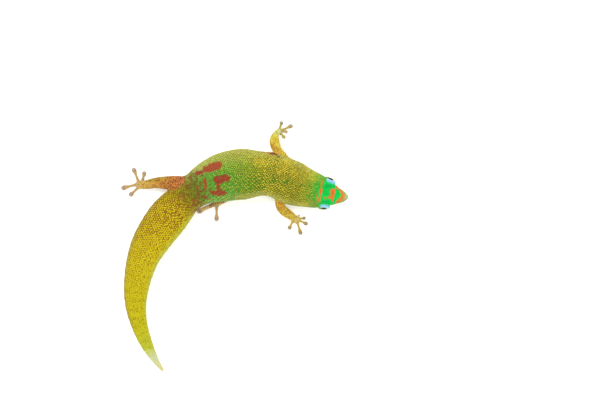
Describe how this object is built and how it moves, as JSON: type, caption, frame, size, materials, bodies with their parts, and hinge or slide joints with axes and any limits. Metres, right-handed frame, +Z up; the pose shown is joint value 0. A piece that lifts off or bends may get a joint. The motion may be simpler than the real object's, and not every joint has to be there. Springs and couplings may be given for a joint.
{
  "type": "day gecko",
  "caption": "Small day gecko at rest on its belly, body bent, tail swung round to its right, toes spread with flat pads.",
  "frame": {"origin": "middle of the animal's footprint, on the surface that it rests on", "axes": "+Z up through the back, +X towards the snout's side of the footprint, +Y towards the animal's left at the shoulders"},
  "size_m": [0.081, 0.0892, 0.0104],
  "materials": {
    "head_skin": "satin, fine granular scales, green with orange marks",
    "back_skin": "satin, fine granular scales, green dusted with yellow",
    "tail_skin": "satin, small scales in rings, olive yellow with rust freckles",
    "tail_tip_skin": "satin, pale and slightly translucent",
    "limb_skin": "satin, fine scales, ochre with reddish freckles",
    "eye": "wet gloss"
  },
  "bodies": {
    "root": {"head": "head_skin", "eye_left": "eye", "eye_right": "eye", "neck": "back_skin", "chest": "back_skin", "belly": "back_skin", "pelvis": "back_skin", "tail_base": "tail_skin", "tail_fore": "tail_skin", "tail_middle": "tail_skin", "tail_rear": "tail_skin", "tail_tip": "tail_tip_skin", "upper_arm_left": "limb_skin", "forearm_left": "limb_skin", "hand_left": "limb_skin", "upper_arm_right": "limb_skin", "forearm_right": "limb_skin", "hand_right": "limb_skin", "thigh_left": "limb_skin", "shank_left": "limb_skin", "foot_left": "limb_skin", "thigh_right": "limb_skin", "shank_right": "limb_skin", "foot_right": "limb_skin"}
  },
  "joints": []
}
